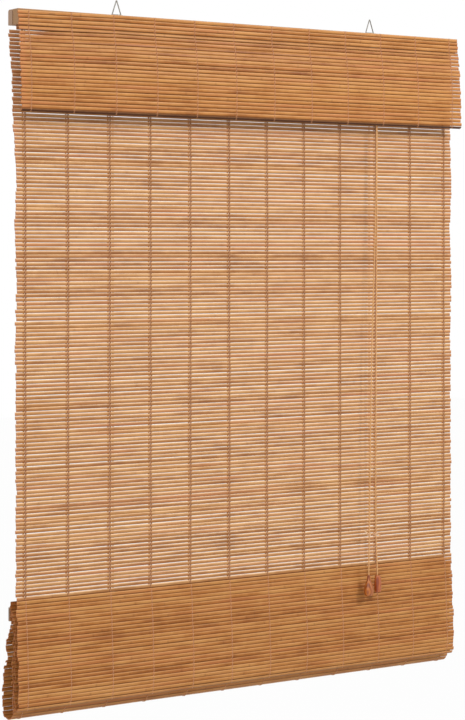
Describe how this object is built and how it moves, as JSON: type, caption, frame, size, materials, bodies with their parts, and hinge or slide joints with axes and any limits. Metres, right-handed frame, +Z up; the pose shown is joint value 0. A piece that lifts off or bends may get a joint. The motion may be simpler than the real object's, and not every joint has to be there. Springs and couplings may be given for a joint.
{
  "type": "bamboo window blind",
  "caption": "Bamboo slat blind with a wooden head rail, valance flap, wire hangers, corded lift with cord lock, and its lower end drawn up into hanging folds.",
  "frame": {"origin": "on top of the head rail, midway between the two wire hangers, in the plane of the hanging mat", "axes": "+X along the rail to the corded side, -Y towards the room, +Z up"},
  "size_m": [0.907, 0.0753, 1.1626],
  "materials": {
    "rail_wood": "planed, unfinished",
    "rail_wood_light": "planed, unfinished",
    "main_slats": "split bamboo, stained and lacquered",
    "valance_slats": "split bamboo, satin lacquer",
    "band_slats": "split bamboo, satin lacquer",
    "batten_wood": "planed, stained",
    "acorn_wood": "turned and varnished",
    "barrel_wood": "turned and varnished",
    "screw_steel": "zinc plated",
    "staple_wire": "galvanised",
    "strap_steel": "zinc plated",
    "hanger_wire": "bright drawn",
    "lock_pin_steel": "plain",
    "lock_plastic": "moulded",
    "roller_brass": "knurled",
    "ring_plastic": "moulded",
    "lift_cord": "braided",
    "pull_cord": "braided"
  },
  "bodies": {
    "head": {"rail_back_board": "rail_wood", "rail_front_board": "rail_wood_light", "rail_screws": "screw_steel", "main_mat": "main_slats", "valance_mat": "valance_slats", "valance_staples": "staple_wire", "hanger_strap_left": "strap_steel", "hanger_strap_right": "strap_steel", "strap_screws": "screw_steel", "cord_lock_screws": "screw_steel", "cord_lock_housing": "lock_plastic", "cord_lock_bars": "lock_pin_steel", "cord_guide_post": "lock_plastic", "screw_eye": "screw_steel", "lift_cord_left": "lift_cord", "lift_cord_right": "lift_cord", "pull_cord_left": "pull_cord", "pull_cord_right": "pull_cord"},
    "hanger_left": {"hanger_left": "hanger_wire"},
    "hanger_right": {"hanger_right": "hanger_wire"},
    "lock_roller": {"lock_roller": "roller_brass"},
    "stack": {"folded_mat": "band_slats", "bottom_batten": "batten_wood", "stack_rings": "ring_plastic", "lift_cord_knots": "lift_cord"},
    "upper_rings": {"upper_rings": "ring_plastic"},
    "lower_rings": {"lower_rings": "ring_plastic"},
    "pulls": {"tassel_left": "acorn_wood", "tassel_right": "barrel_wood", "tassel_knots": "pull_cord", "cord_knot_left": "pull_cord", "cord_knot_right": "pull_cord"}
  },
  "joints": [
    {"name": "lift", "type": "slide", "parent": "head", "child": "stack", "axis": [0, 0, 1], "range_m": [0, 0.78], "deforming": ["main_mat", "lift_cord_left", "lift_cord_right"]},
    {"name": "pull", "type": "slide", "parent": "head", "child": "pulls", "axis": [0, 0, -1], "range_m": [0, 0.78], "deforming": ["pull_cord_left", "pull_cord_right"]},
    {"name": "upper_ring_rise", "type": "slide", "parent": "head", "child": "upper_rings", "axis": [0, 0, 1], "range_m": [0, 0.19]},
    {"name": "lower_ring_rise", "type": "slide", "parent": "head", "child": "lower_rings", "axis": [0, 0, 1], "range_m": [0, 0.49]},
    {"name": "lock_roller_slide", "type": "slide", "parent": "head", "child": "lock_roller", "axis": [0, -0.9781, 0.2079], "range_m": [0, 0.004]},
    {"name": "hanger_left_swing", "type": "hinge", "parent": "head", "child": "hanger_left", "pos_m": [-0.263, 0, 0.0012], "axis": [1, 0, 0], "range_deg": [-70, 70]},
    {"name": "hanger_right_swing", "type": "hinge", "parent": "head", "child": "hanger_right", "pos_m": [0.263, 0, 0.0012], "axis": [1, 0, 0], "range_deg": [-70, 70]}
  ],
  "couplings": [
    {"joint": "pull", "follows": "lift", "ratio": 1},
    {"joint": "upper_ring_rise", "follows": "lift", "ratio": 0.2416},
    {"joint": "lower_ring_rise", "follows": "lift", "ratio": 0.6208}
  ]
}
